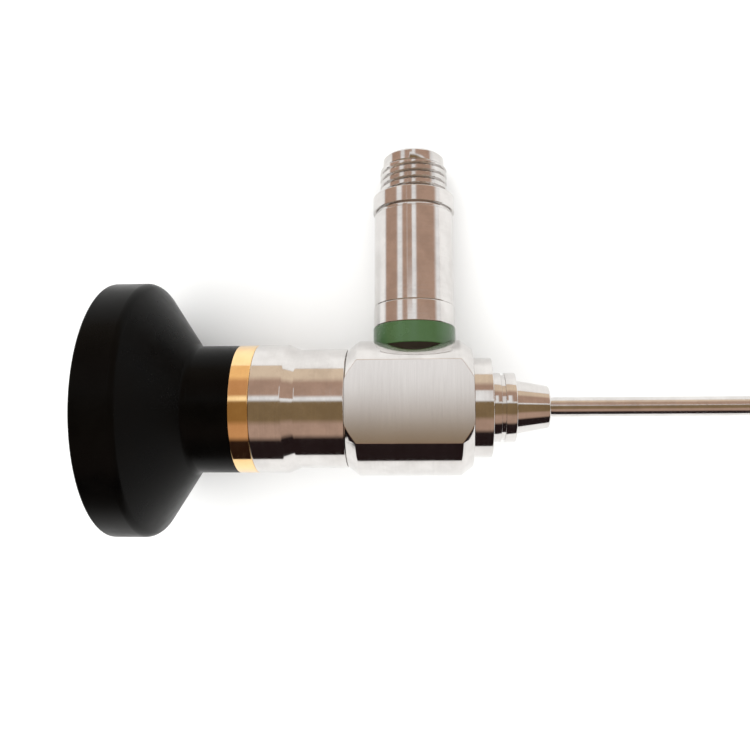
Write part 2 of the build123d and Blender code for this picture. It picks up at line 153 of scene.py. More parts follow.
class Shop:
    """Turns, mills and joins meshes with Blender's own operators."""

    SEGMENTS = 192
    FINE_SEGMENTS = 256
    TOOL_SEGMENTS = 160
    SMALL_SEGMENTS = 96
    SMOOTH_ANGLE = 32.0

    @staticmethod
    def clear() -> None:
        """Leave edit mode and deselect everything."""
        if bpy.context.object and bpy.context.object.mode != "OBJECT":
            bpy.ops.object.mode_set(mode="OBJECT")
        bpy.ops.object.select_all(action="DESELECT")

    @classmethod
    def activate(cls, piece: Piece) -> None:
        """Make a piece the only one that Blender's operators work on."""
        cls.clear()
        bpy.context.view_layer.objects.active = piece
        piece.select_set(True)

    @staticmethod
    def settle() -> None:
        """Move the active piece's place into its mesh."""
        bpy.ops.object.transform_apply(location=True, rotation=True, scale=True)

    @staticmethod
    def bevel(width: float, steps: int, clamp: bool) -> None:
        """Round the selected edges.

        Args:
            width: The width of the rounding in millimetres.
            steps: How many faces it has across.
            clamp: Stop where the rounding would meet another edge.
        """
        bpy.ops.mesh.bevel(
            offset=width * MM, offset_type="OFFSET", segments=steps, profile=0.5,
            affect="EDGES", clamp_overlap=clamp)

    @staticmethod
    def select_edges(test: Callable[[bmesh.types.BMEdge], bool]) -> int:
        """Select the edges of the mesh in edit mode that pass a test.

        Args:
            test: Says of an edge whether it is wanted.

        Returns:
            How many edges are selected.
        """
        mesh = bpy.context.edit_object.data
        shape = bmesh.from_edit_mesh(mesh)
        bpy.ops.mesh.select_mode(type="EDGE")
        bpy.ops.mesh.select_all(action="DESELECT")
        count = 0
        for edge in shape.edges:
            if test(edge):
                edge.select_set(True)
                count += 1
        bmesh.update_edit_mesh(mesh)
        return count

    @classmethod
    def turn(cls, name: str, corners: list[Corner], solid: bool = False,
             segments: int = SEGMENTS) -> Piece:
        """Turn a closed outline about Z by drawing one ring out of the other.

        Args:
            name: The piece's name.
            corners: The outline, in order. A solid one starts and ends with a full face.
            solid: Fill the first and the last ring, where the outline isn't a loop.
            segments: How many straight stretches go round the piece.

        Returns:
            The piece, still along Z and in its own metres.
        """
        cls.clear()
        first = corners[0]
        bpy.ops.mesh.primitive_circle_add(
            vertices=segments, radius=first.radius * MM,
            fill_type="NGON" if solid else "NOTHING", location=(0, 0, first.station * MM))
        piece = bpy.context.object
        piece.name = name
        cls.settle()
        bpy.ops.object.mode_set(mode="EDIT")
        bpy.ops.mesh.select_mode(type="EDGE")
        bpy.ops.mesh.select_all(action="SELECT")
        if solid:
            cls.select_edges(lambda edge: True)
        for last, corner in zip(corners, corners[1:]):
            rise = (corner.station - last.station) * MM
            grow = corner.radius / last.radius
            bpy.ops.mesh.extrude_edges_move(TRANSFORM_OT_translate={"value": (0, 0, rise)})
            bpy.ops.transform.resize(
                value=(grow, grow, 1), center_override=(0, 0, corner.station * MM))
        if solid:
            bpy.ops.mesh.edge_face_add()
        else:
            cls.select_edges(lambda edge: len(edge.link_faces) == 1)
            bpy.ops.mesh.bridge_edge_loops()
        for corner in corners:
            if corner.rounding > 0:
                cls.round_ring(corner)
        bpy.ops.mesh.select_all(action="SELECT")
        bpy.ops.mesh.normals_make_consistent(inside=False)
        cls.clear()
        return piece

    @classmethod
    def round_ring(cls, corner: Corner) -> None:
        """Round the ring of edges that stands at one corner of the outline."""
        def on_ring(edge: bmesh.types.BMEdge) -> bool:
            """Say whether both ends of an edge lie on the corner's ring."""
            return all(
                abs(end.co.z - corner.station * MM) < NEAR
                and abs(math.hypot(end.co.x, end.co.y) - corner.radius * MM) < NEAR
                for end in edge.verts)

        if cls.select_edges(on_ring):
            cls.bevel(corner.rounding, corner.steps, clamp=False)

    @classmethod
    def combine(cls, piece: Piece, tool: Piece, cut: Cut) -> None:
        """Add a tool body to a piece or remove it, and delete the tool.

        Args:
            piece: The piece that is changed.
            tool: The body that is added or removed.
            cut: Which of the two.
        """
        cls.activate(piece)
        change = piece.modifiers.new("cut", "BOOLEAN")
        change.operation = cut.value
        change.object = tool
        change.solver = "EXACT"
        bpy.ops.object.modifier_apply(modifier=change.name)
        bpy.data.objects.remove(tool, do_unlink=True)

    @classmethod
    def lay(cls, piece: Piece, place: Matrix) -> None:
        """Put a piece in the row frame, with its place in its mesh, and smooth it.

        Args:
            piece: The finished piece in its own metres.
            place: The matrix from its own metres to row metres.
        """
        cls.activate(piece)
        piece.matrix_world = place
        cls.settle()
        bpy.ops.object.shade_smooth_by_angle(angle=math.radians(cls.SMOOTH_ANGLE))
        weigh = piece.modifiers.new("even_normals", "WEIGHTED_NORMAL")
        weigh.keep_sharp = True
        weigh.mode = "FACE_AREA_WITH_ANGLE"
        bpy.ops.object.modifier_apply(modifier=weigh.name)


class Graph:
    """The nodes of one material, added and linked in one call each."""

    def __init__(self, name: str) -> None:
        """Start an empty material of the given name."""
        self.material = bpy.data.materials.new(name)
        self.material.use_nodes = True
        self.tree = self.material.node_tree
        self.tree.nodes.clear()

    def add(self, kind: str, inputs: dict[Any, Any] | None = None,
            **settings: Any) -> bpy.types.Node:
        """Add a node, set its options and fill or link its inputs.

        Args:
            kind: The node's type name.
            inputs: Values or output sockets, by input name or number.
            settings: The node's own options.

        Returns:
            The node.
        """
        node = self.tree.nodes.new(kind)
        for option, value in settings.items():
            setattr(node, option, value)
        for key, value in (inputs or {}).items():
            socket = node.inputs[key]
            if isinstance(value, Socket):
                self.tree.links.new(value, socket)
            else:
                socket.default_value = value
        return node

    def math(self, operation: str, first: Any, second: Any = 0.0) -> Socket:
        """Add a Math node and give its result."""
        return self.add("ShaderNodeMath", {0: first, 1: second}, operation=operation).outputs[0]

    def bench_point(self, bench: Bench) -> Socket:
        """Give the surface point in bench metres, from the piece's Object coordinates."""
        back = bench.matrix.inverted()
        return self.add(
            "ShaderNodeMapping",
            {"Vector": self.add("ShaderNodeTexCoord").outputs["Object"],
             "Location": back.to_translation(), "Rotation": back.to_euler("XYZ")},
            vector_type="POINT").outputs[0]

    def noise(self, point: Socket, stretch: Colour, detail: float = 3.0,
              rough: float = 0.5) -> Socket:
        """Give a noise value over a stretched point.

        Args:
            point: The point that the noise is read at.
            stretch: How many patches go in a metre, along each axis.
            detail: How many finer layers the noise has.
            rough: How strong the finer layers are.

        Returns:
            The noise, about 0 to 1.
        """
        scaled = self.add(
            "ShaderNodeMapping", {"Vector": point, "Scale": stretch}, vector_type="POINT")
        return self.add(
            "ShaderNodeTexNoise",
            {"Vector": scaled.outputs[0], "Scale": 1.0, "Detail": detail, "Roughness": rough},
        ).outputs[0]

    def spread(self, value: Socket, low: float, high: float,
               start: float = 0.3, end: float = 0.7) -> Socket:
        """Spread a noise value between two numbers."""
        return self.add(
            "ShaderNodeMapRange",
            {0: value, 1: start, 2: end, 3: low, 4: high}).outputs[0]

    def blend(self, amount: Socket, first: Colour, second: Colour) -> Socket:
        """Blend two colours by a value from 0 to 1."""
        return self.add(
            "ShaderNodeMix", {0: amount, 6: (*first, 1), 7: (*second, 1)},
            data_type="RGBA").outputs[2]

    def bump(self, height: Socket, depth_mm: float, over: Socket | None = None) -> Socket:
        """Turn a height into a bump of a real depth, over another bump if one is given."""
        inputs: dict[Any, Any] = {"Height": height, "Strength": 1.0, "Distance": depth_mm * MM}
        if over is not None:
            inputs["Normal"] = over
        return self.add("ShaderNodeBump", inputs).outputs[0]

    def finish(self, **inputs: Any) -> Material:
        """Close the material with a surface shader.

        Args:
            inputs: The shader's inputs, with underscores for spaces.

        Returns:
            The material.
        """
        named = {key.replace("_", " "): value for key, value in inputs.items()}
        surface = self.add("ShaderNodeBsdfPrincipled", named)
        self.add("ShaderNodeOutputMaterial", {"Surface": surface.outputs[0]})
        return self.material


@dataclass(frozen=True)
class Finish:
    """A finish that is made into a material for pieces on the bench."""

    name: str

    def build(self, bench: Bench) -> Material:
        """Make the material.

        Args:
            bench: Where the pieces lie.

        Returns:
            The material.
        """
        graph = Graph(self.name)
        return graph.finish(**self.inputs(graph, graph.bench_point(bench), bench))

    def inputs(self, graph: Graph, point: Socket, bench: Bench) -> dict[str, Any]:
        """Give the surface shader's inputs.

        Args:
            graph: The material's nodes.
            point: The surface point in bench metres.
            bench: Where the pieces lie.

        Returns:
            The inputs, with underscores for spaces.
        """
        raise NotImplementedError


@dataclass(frozen=True)
class TurnedMetal(Finish):
    """Metal turned on a lathe and polished, with faint rings from the tool."""

    colour: Colour
    shade: Colour
    roughness: float
    lie: Lie
    ring_depth_mm: float = 0.0006
    rings_per_metre: float = 5200.0
    ring_shade: float = 0.16

    def inputs(self, graph: Graph, point: Socket, bench: Bench) -> dict[str, Any]:
        """Give the inputs, with rings in the bump, the roughness and the tint."""
        rings = graph.noise(point, self.lie.stretch(self.rings_per_metre, 60.0), detail=2.0)
        haze = graph.noise(point, (420.0, 420.0, 420.0), detail=5.0, rough=0.6)
        mixed = graph.math(
            "ADD", graph.math("MULTIPLY", rings, self.ring_shade),
            graph.math("MULTIPLY", haze, 1 - self.ring_shade))
        return {
            "Base_Color": graph.blend(
                graph.spread(mixed, 0.0, 1.0, 0.4, 0.6), self.colour, self.shade),
            "Metallic": 1.0,
            "Roughness": graph.spread(rings, self.roughness * 0.7, self.roughness * 1.4),
            "Normal": graph.bump(rings, self.ring_depth_mm),
        }


@dataclass(frozen=True)
class SatinMilled(Finish):
    """A milled flat, rubbed to a satin grain that runs across the optical axis."""

    colour: Colour
    shade: Colour
    roughness: float = 0.115
    anisotropy: float = 0.9
    grain_depth_mm: float = 0.0001

    def inputs(self, graph: Graph, point: Socket, bench: Bench) -> dict[str, Any]:
        """Give the inputs, with the rough direction along the optical axis."""
        grain = graph.noise(point, (9000.0, 260.0, 260.0), detail=3.0, rough=0.6)
        clouds = graph.noise(point, (260.0, 160.0, 160.0), detail=4.0)
        mixed = graph.math("MULTIPLY", graph.math("ADD", grain, clouds), 0.5)
        along = graph.add("ShaderNodeCombineXYZ")
        for socket, part in zip(along.inputs, bench.matrix.col[0].to_3d()):
            socket.default_value = part
        return {
            "Base_Color": graph.blend(
                graph.spread(mixed, 0.0, 1.0, 0.35, 0.65), self.colour, self.shade),
            "Metallic": 1.0,
            "Roughness": graph.spread(grain, self.roughness * 0.9, self.roughness * 1.15),
            "Anisotropic": self.anisotropy,
            "Tangent": along.outputs[0],
            "Normal": graph.bump(grain, self.grain_depth_mm),
        }


@dataclass(frozen=True)
class Moulded(Finish):
    """Plastic or rubber with a fine skin, faint tool rings and a little haze."""

    colour: Colour
    shade: Colour
    roughness: float
    lie: Lie = Lie.SCOPE
    skin_depth_mm: float = 0.002
    ring_depth_mm: float = 0.0008
    rings_per_metre: float = 4000.0
    specular: float = 0.5

    def inputs(self, graph: Graph, point: Socket, bench: Bench) -> dict[str, Any]:
        """Give the inputs, with the rings' bump over the skin's."""
        rings = graph.noise(point, self.lie.stretch(self.rings_per_metre, 40.0), detail=2.0)
        skin = graph.noise(point, (7000.0, 7000.0, 7000.0), detail=3.0)
        haze = graph.noise(point, (180.0, 180.0, 180.0), detail=5.0, rough=0.65)
        return {
            "Base_Color": graph.blend(graph.spread(haze, 0.0, 1.0), self.colour, self.shade),
            "Roughness": graph.spread(haze, self.roughness * 0.8, self.roughness * 1.25),
            "Normal": graph.bump(
                rings, self.ring_depth_mm, graph.bump(skin, self.skin_depth_mm)),
            "Specular_IOR_Level": self.specular,
        }


@dataclass(frozen=True)
class ClearGlass(Finish):
    """Optical glass with a thin coloured coating."""

    colour: Colour
    roughness: float = 0.02

    def inputs(self, graph: Graph, point: Socket, bench: Bench) -> dict[str, Any]:
        """Give the inputs, with a faint haze."""
        haze = graph.noise(point, (600.0, 600.0, 600.0), detail=4.0)
        return {
            "Base_Color": graph.blend(
                haze, self.colour, tuple(0.93 * part for part in self.colour)),
            "Roughness": graph.spread(haze, self.roughness, self.roughness * 2.5),
            "Transmission_Weight": 0.9,
            "IOR": 1.52,
            "Coat_Weight": 0.6,
            "Coat_Tint": (0.6, 0.55, 0.9, 1),
        }


@dataclass(frozen=True)
class FibreFace(Finish):
    """The polished ends of many light fibres in resin."""

    core: Colour = (0.82, 0.8, 0.7)
    resin: Colour = (0.2, 0.13, 0.07)
    fibres_per_metre: float = 13000.0

    def inputs(self, graph: Graph, point: Socket, bench: Bench) -> dict[str, Any]:
        """Give the inputs, with one cell for each fibre."""
        cells = graph.add(
            "ShaderNodeTexVoronoi", {"Vector": point, "Scale": self.fibres_per_metre})
        edge = graph.spread(cells.outputs["Distance"], 0.0, 1.0, 0.35, 0.6)
        return {
            "Base_Color": graph.blend(edge, self.core, self.resin),
            "Roughness": graph.spread(edge, 0.12, 0.4, 0.0, 1.0),
            "Normal": graph.bump(edge, -0.001),
        }


class Finishes:
    """Every finish on the instrument, made once and shared."""

    STEEL: Colour = (0.62, 0.60, 0.585)
    STEEL_SHADE: Colour = (0.545, 0.525, 0.51)

    def __init__(self, bench: Bench) -> None:
        """Make all materials for pieces that lie on the given bench."""
        steel, shade = self.STEEL, self.STEEL_SHADE
        self.scope_steel = TurnedMetal(
            "scope_steel", steel, shade, 0.085, Lie.SCOPE).build(bench)
        self.post_steel = TurnedMetal("post_steel", steel, shade, 0.10, Lie.POST).build(bench)
        self.tube_steel = TurnedMetal(
            "tube_steel", steel, shade, 0.16, Lie.SCOPE, 0.0002, 3000.0).build(bench)
        self.thread_steel = TurnedMetal(
            "thread_steel", (0.62, 0.60, 0.585), (0.52, 0.50, 0.485), 0.12, Lie.POST).build(bench)
        self.gold = TurnedMetal(
            "gold", (0.86, 0.60, 0.30), (0.80, 0.54, 0.26), 0.08, Lie.SCOPE).build(bench)
        self.satin_flat = SatinMilled(
            "satin_flat", (0.64, 0.615, 0.60), (0.59, 0.565, 0.55)).build(bench)
        self.black_cup = Moulded(
            "black_cup", (0.0008, 0.0007, 0.0006), (0.002, 0.0016, 0.0012), 0.3,
            specular=0.045).build(bench)
        self.green_ring = Moulded(
            "green_ring", (0.030, 0.076, 0.021), (0.042, 0.100, 0.032), 0.24, Lie.POST,
            0.0008, 0.0006, 5000.0).build(bench)
        self.black_metal = Moulded(
            "black_metal", (0.02, 0.02, 0.022), (0.03, 0.03, 0.032), 0.45).build(bench)
        # Near-black brown paint for the side of the steel boss: painted shade for the shadow
        # under the colour ring.
        self.painted_boss_shade = Moulded(
            "boss_painted_shade", (0.011, 0.008, 0.004), (0.02, 0.014, 0.008), 0.5,
            specular=0.1).build(bench)
        self.rubber = Moulded(
            "rubber", (0.016, 0.016, 0.016), (0.028, 0.027, 0.026), 0.62, Lie.POST,
            0.004, 0.0, 4000.0, 0.3).build(bench)
        self.glass = ClearGlass("optical_glass", (0.95, 0.97, 1.0)).build(bench)
        self.fibre = FibreFace("fibre_face").build(bench)


@dataclass(frozen=True)
class Kit:
    """What every sub-assembly needs: the bench and the finishes."""

    bench: Bench
    finishes: Finishes

    def dress(self, place: Matrix, *rows: tuple[Piece, Material, str, str]) -> None:
        """Lay pieces, give each its finish and its body, and hide the node that it stands for.

        Args:
            place: The matrix from the pieces' own metres to row metres.
            rows: Each finished piece, its finish, the record's material slot and the node.
        """
        for piece, material, slot, node in rows:
            Shop.lay(piece, place)
            if not piece.data.materials:
                piece.data.materials.append(material)
            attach(piece, BODY)
            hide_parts(node)
            log.info("%s: %d faces", piece.name, len(piece.data.polygons))


@dataclass(frozen=True)
class Eyecup:
    """The black eyecup and the gold ring that locks it."""

    radius: float = 15.875
    rim_bore: float = 14.4
    rim_width: float = 4.75
    rim_edge: float = 0.35
    corner_rounding: float = 1.15
    neck_radius: float = 7.95
    neck_rounding: float = 1.0
    cone_angle: float = 55.7
    wall: float = 2.2
    length: float = 15.5
    bore: float = 6.62
    floor_ledge: float = 0.5
    gold_radius: float = 7.975
    gold_width: float = 2.4
    edge: float = 0.1

    def slope(self) -> float:
        """Give the drop in radius of the coned back, per millimetre of station."""
        return math.tan(math.radians(self.cone_angle))

    def setback(self, rounding: float) -> float:
        """Give how far a rounding of a coned corner starts from the sharp corner."""
        return rounding * math.tan(math.radians(self.cone_angle) / 2)

    def floor_station(self) -> float:
        """Give the station of the recess floor, where the inner cone meets the ledge."""
        drop = self.wall * math.sqrt(1 + self.slope() ** 2)
        floor_radius = self.bore + self.floor_ledge
        return self.rim_width + (self.radius - drop - floor_radius) / self.slope()

    def cup(self) -> Piece:
        """Turn the cup: rim, coned back, neck, bore and recess."""
        slope = self.slope()
        neck_station = self.rim_width + (self.radius - self.neck_radius) / slope
        drop = self.wall * math.sqrt(1 + slope**2)
        recess_station = self.rim_width + (self.radius - drop - self.rim_bore) / slope
        floor = self.floor_station()
        return Shop.turn("eyecup_shell", [
            Corner(0, self.rim_bore, self.rim_edge, 5),
            Corner(0, self.radius, self.rim_edge, 5),
            Corner(self.rim_width, self.radius, self.setback(self.corner_rounding), 9),
            Corner(neck_station, self.neck_radius, self.setback(self.neck_rounding), 7),
            Corner(self.length, self.neck_radius, self.edge),
            Corner(self.length, self.bore),
            Corner(floor, self.bore, 0.08),
            Corner(floor, self.bore + self.floor_ledge, 0.15),
            Corner(recess_station, self.rim_bore, 0.4, 6),
        ], segments=Shop.FINE_SEGMENTS)

    def gold_ring(self) -> Piece:
        """Turn the gold ring, its outer edges broken."""
        end = self.length + self.gold_width
        return Shop.turn("gold_lock_ring", [
            Corner(self.length, self.bore), Corner(self.length, self.gold_radius, self.edge),
            Corner(end, self.gold_radius, self.edge), Corner(end, self.bore)])

    def build(self, kit: Kit) -> None:
        """Make, lay and dress both pieces."""
        kit.dress(
            kit.bench.place(Lie.SCOPE),
            (self.cup(), kit.finishes.black_cup, "black_plastic", "eyecup"),
            (self.gold_ring(), kit.finishes.gold, "gold", "gold_ring"))


@dataclass(frozen=True)
class WindowGroup:
    """The screwed ring with its two spanner slots, and the window behind it."""

    floor_station: float
    ring_radius: float = 5.9
    ring_bore: float = 4.3
    ring_thickness: float = 1.2
    bore_chamfer: float = 0.45
    glass_radius: float = 5.4
    glass_thickness: float = 1.0
    notch_width: float = 1.1
    notch_depth: float = 0.5

    def ring(self) -> Piece:
        """Turn the ring and cut two slots across its front face."""
        start = self.floor_station
        end = start + self.ring_thickness
        ring = Shop.turn("window_lock_ring", [
            Corner(start, self.ring_bore, self.bore_chamfer, 2),
            Corner(start, self.ring_radius, 0.12),
            Corner(end, self.ring_radius), Corner(end, self.ring_bore)])
        Shop.clear()
        bpy.ops.mesh.primitive_cube_add(size=1, location=(0, 0, start * MM))
        slot = bpy.context.object
        slot.scale = (3 * self.ring_radius * MM, self.notch_width * MM,
                      2 * self.notch_depth * MM)
        Shop.settle()
        Shop.combine(ring, slot, Cut.REMOVE)
        return ring

    def glass(self) -> Piece:
        """Turn the window with its edges broken."""
        start = self.floor_station + self.ring_thickness
        end = start + self.glass_thickness
        return Shop.turn("window_glass", [
            Corner(start, self.glass_radius, 0.1), Corner(end, self.glass_radius, 0.1)],
            solid=True, segments=Shop.SMALL_SEGMENTS)

    def build(self, kit: Kit) -> None:
        """Make, lay and dress both pieces."""
        kit.dress(
            kit.bench.place(Lie.SCOPE),
            (self.ring(), kit.finishes.scope_steel, "turned_steel", "window_ring"),
            (self.glass(), kit.finishes.glass, "optical_glass", "eyepiece_window"))


@dataclass(frozen=True)
class OcularHousing:
    """The stepped steel tube between the gold ring and the block."""

    floor_station: float
    start: float = 17.9
    wide_radius: float = 7.975
    wide_length: float = 3.75
    taper_length: float = 1.45
    narrow_radius: float = 7.375
    narrow_length: float = 5.9
    front_spigot: float = 6.6
    rear_spigot: float = 6.0
    rear_spigot_length: float = 4.0
    mouth_bore: float = 5.92
    mouth_depth: float = 2.6
    web: float = 0.8
    web_bore: float = 4.6
    bore: float = 5.4
    edge: float = 0.1

    def build(self, kit: Kit) -> None:
        """Turn the tube with its bores, lay it and dress it."""
        taper = self.start + self.wide_length
        narrow = taper + self.taper_length
        end = narrow + self.narrow_length
        spigot_end = end + self.rear_spigot_length
        web = self.floor_station + self.mouth_depth
        tube = Shop.turn("ocular_barrel", [
            Corner(self.floor_station, self.mouth_bore),
            Corner(self.floor_station, self.front_spigot, 0.08),
            Corner(self.start, self.front_spigot),
            Corner(self.start, self.wide_radius, self.edge),
            Corner(taper, self.wide_radius, 0.12, 4),
            Corner(narrow, self.narrow_radius, 0.12, 4),
            Corner(end, self.narrow_radius, self.edge),
            Corner(end, self.rear_spigot),
            Corner(spigot_end, self.rear_spigot),
            Corner(spigot_end, self.bore),
            Corner(web + self.web, self.bore),
            Corner(web + self.web, self.web_bore),
            Corner(web, self.web_bore),
            Corner(web, self.mouth_bore),
        ])
        kit.dress(
            kit.bench.place(Lie.SCOPE),
            (tube, kit.finishes.scope_steel, "turned_steel", "ocular_housing"))


@dataclass(frozen=True)
class BodyBlock:
    """The turned and milled block that carries every other group."""

    post_station: float
    start: float = 29.0
    end: float = 44.25
    radius: float = 8.35
    end_radius: float = 7.25
    cone_length: float = 1.45
    flat_height: float = 6.75
    flat_edge: float = 0.09
    flat_tilt: float = 1e-4
    rear_bore: float = 6.02
    rear_bore_depth: float = 4.02
    web: float = 1.0
    web_bore: float = 2.0
    chamber_radius: float = 4.0
    front_bore: float = 4.62
    front_bore_depth: float = 3.02
    boss_radius: float = 5.1
    boss_root: float = 6.12
    boss_reach: float = 7.35
    boss_margin: float = 0.02
    boss_tilt: float = 0.3
    spot_face_radius: float = 5.3
    stem_bore: float = 3.02
    stem_foot: float = 0.5
    seal_radius: float = 3.6
    seal_depth: float = 0.6
    edge: float = 0.12

    def turned(self) -> Piece:
        """Turn the block with coned ends and all its bores."""
        web = self.start + self.rear_bore_depth
        front = self.end - self.front_bore_depth
        return Shop.turn("body", [
            Corner(self.start, self.rear_bore),
            Corner(self.start, self.end_radius, self.edge),
            Corner(self.start + self.cone_length, self.radius, 0.1, 4),
            Corner(self.end - self.cone_length, self.radius, 0.1, 4),
            Corner(self.end, self.end_radius, self.edge),
            Corner(self.end, self.front_bore),
            Corner(front, self.front_bore),
            Corner(front, self.chamber_radius),
            Corner(web + self.web, self.chamber_radius),
            Corner(web + self.web, self.web_bore),
            Corner(web, self.web_bore),
            Corner(web, self.rear_bore),
        ], segments=Shop.FINE_SEGMENTS)

    def mill_flats(self, block: Piece) -> None:
        """Cut the front and the back flat and break the edge of each.

        Args:
            block: The turned block, still along its own Z.
        """
        height = self.flat_height * MM
        Shop.activate(block)
        bpy.ops.object.mode_set(mode="EDIT")
        for side in (-1, 1):
            bpy.ops.mesh.select_mode(type="FACE")
            bpy.ops.mesh.select_all(action="SELECT")
            bpy.ops.mesh.bisect(
                plane_co=(side * height, 0, 0), plane_no=(side, 0, 0),
                use_fill=True, clear_outer=True, threshold=NEAR)

        def on_flat_edge(edge: bmesh.types.BMEdge) -> bool:
            """Say whether an edge lies between a flat and the round of the block."""
            flats = [abs(abs(face.normal.x) - 1) < self.flat_tilt for face in edge.link_faces]
            return len(flats) == 2 and flats[0] != flats[1]

        Shop.select_edges(on_flat_edge)
        Shop.bevel(self.flat_edge, 2, clamp=True)
        Shop.clear()

    def post_tool(self, name: str, low: float, high: float, radius: float) -> Piece:
        """Turn a plain round tool body on the light post's axis.

        Args:
            name: The tool's name.
            low: The reach where it starts.
            high: The reach where it ends.
            radius: Its radius.

        Returns:
            The tool, in the block's own metres, where Z is the optical axis.
        """
        tool = Shop.turn(name, [Corner(low, radius), Corner(high, radius)], solid=True,
                         segments=Shop.TOOL_SEGMENTS)
        tool.matrix_world = (
            Matrix.Translation((0, 0, self.post_station * MM))
            @ Matrix.Rotation(math.radians(-90), 4, "X"))
        Shop.activate(tool)
        Shop.settle()
        return tool

    def is_boss(self, face: bpy.types.MeshPolygon) -> bool:
        """Say whether a face lies on the side of the boss, which gets a near-black painted shade
        under the colour ring.
        """
        across = math.hypot(face.center.x, face.center.z - self.post_station * MM)
        return (face.center.y > self.boss_root * MM
                and abs(across - self.boss_radius * MM) < self.boss_margin * MM
                and abs(face.normal.y) < self.boss_tilt)

    def build(self, kit: Kit) -> None:
        """Make, lay and dress the block, with a satin finish on its flats and a painted shade on
        the side of its boss.
        """
        block = self.turned()
        self.mill_flats(block)
        far = 2 * self.radius
        steps = (
            ("boss", self.boss_root, self.boss_reach, self.boss_radius, Cut.ADD),
            ("spot_face", self.boss_reach, far, self.spot_face_radius, Cut.REMOVE),
            ("stem_hole", self.stem_foot, far, self.stem_bore, Cut.REMOVE),
            ("seal_seat", self.boss_reach - self.seal_depth, far, self.seal_radius, Cut.REMOVE),
        )
        for name, low, high, radius, cut in steps:
            Shop.combine(block, self.post_tool(name, low, high, radius), cut)
        block.data.materials.clear()
        finishes = kit.finishes
        for material in (finishes.scope_steel, finishes.satin_flat, finishes.painted_boss_shade):
            block.data.materials.append(material)
        for face in block.data.polygons:
            flat = abs(abs(face.normal.x) - 1) < SQUARE
            high = abs(abs(face.center.x) - self.flat_height * MM) < SAME_PLACE
            # Index 2 puts the painted shade on the side of the boss, under the colour ring.
            face.material_index = 1 if flat and high else 2 if self.is_boss(face) else 0
        kit.dress(
            kit.bench.place(Lie.SCOPE),
            (block, finishes.scope_steel, "block_steel", "body_block"))


@dataclass(frozen=True)
class FrontGroup:
    """Everything in front of the block, down to the tip of the shaft."""

    start: float = 44.25
    collar_radius: float = 6.15
    collar_width: float = 2.3
    spigot_radius: float = 4.6
    spigot_length: float = 3.0
    funnel_radius: float = 3.0
    funnel_length: float = 2.0
    ferrule_radius: float = 4.25
    ferrule_width: float = 2.9
    groove_offset: float = 1.1
    groove_width: float = 0.47
    groove_depth: float = 0.25
    nose_base: float = 3.3
    nose_tip: float = 2.55
    nose_length: float = 4.1
    nose_edge: float = 0.2
    bore: float = 1.17
    seat_radius: float = 1.15
    seat_taper: float = 0.8
    shaft_radius: float = 1.2
    shaft_bore: float = 1.05
    shaft_length: float = 100.0
    shaft_edge: float = 0.08
    edge: float = 0.12

    def collar(self) -> Piece:
        """Turn the flanged collar with its spigot and funnel."""
        end = self.start + self.collar_width
        back = self.start - self.spigot_length
        return Shop.turn("shaft_collar", [
            Corner(back, self.funnel_radius), Corner(back, self.spigot_radius),
            Corner(self.start, self.spigot_radius),
            Corner(self.start, self.collar_radius, self.edge),
            Corner(end, self.collar_radius, self.edge),
            Corner(end, self.bore), Corner(back + self.funnel_length, self.bore)])

    def ferrule(self) -> Piece:
        """Turn the ferrule with its narrow groove."""
        start = self.start + self.collar_width
        end = start + self.ferrule_width
        groove = start + self.groove_offset
        groove_end = groove + self.groove_width
        root = self.ferrule_radius - self.groove_depth
        return Shop.turn("shaft_lock_ring", [
            Corner(start, self.bore), Corner(start, self.ferrule_radius, self.edge),
            Corner(groove, self.ferrule_radius, 0.05), Corner(groove, root),
            Corner(groove_end, root), Corner(groove_end, self.ferrule_radius, 0.05),
            Corner(end, self.ferrule_radius, self.edge), Corner(end, self.bore)])

    def nose(self) -> Piece:
        """Turn the nose cone with its rounded end."""
        start = self.start + self.collar_width + self.ferrule_width
        end = start + self.nose_length
        return Shop.turn("shaft_nose", [
            Corner(start, self.bore), Corner(start, self.nose_base),
            Corner(end, self.nose_tip, self.nose_edge, 5), Corner(end, self.bore)])

    def tube(self) -> Piece:
        """Turn the outer tube of the shaft."""
        start = self.start - self.spigot_length + self.funnel_length
        nose_end = self.start + self.collar_width + self.ferrule_width + self.nose_length
        end = nose_end + self.shaft_length
        return Shop.turn("shaft_tube", [
            Corner(start, self.shaft_bore), Corner(start, self.seat_radius),
            Corner(nose_end, self.seat_radius),
            Corner(nose_end + self.seat_taper, self.shaft_radius),
            Corner(end, self.shaft_radius, self.shaft_edge), Corner(end, self.shaft_bore)],
            segments=Shop.SMALL_SEGMENTS)

    def build(self, kit: Kit) -> None:
        """Make, lay and dress the four pieces."""
        steel = kit.finishes.scope_steel
        kit.dress(
            kit.bench.place(Lie.SCOPE),
            (self.collar(), steel, "turned_steel", "front_collar"),
            (self.ferrule(), steel, "turned_steel", "shaft_ferrule"),
            (self.nose(), steel, "turned_steel", "nose_cone"),
            (self.tube(), kit.finishes.tube_steel, "tube_steel", "outer_tube"))


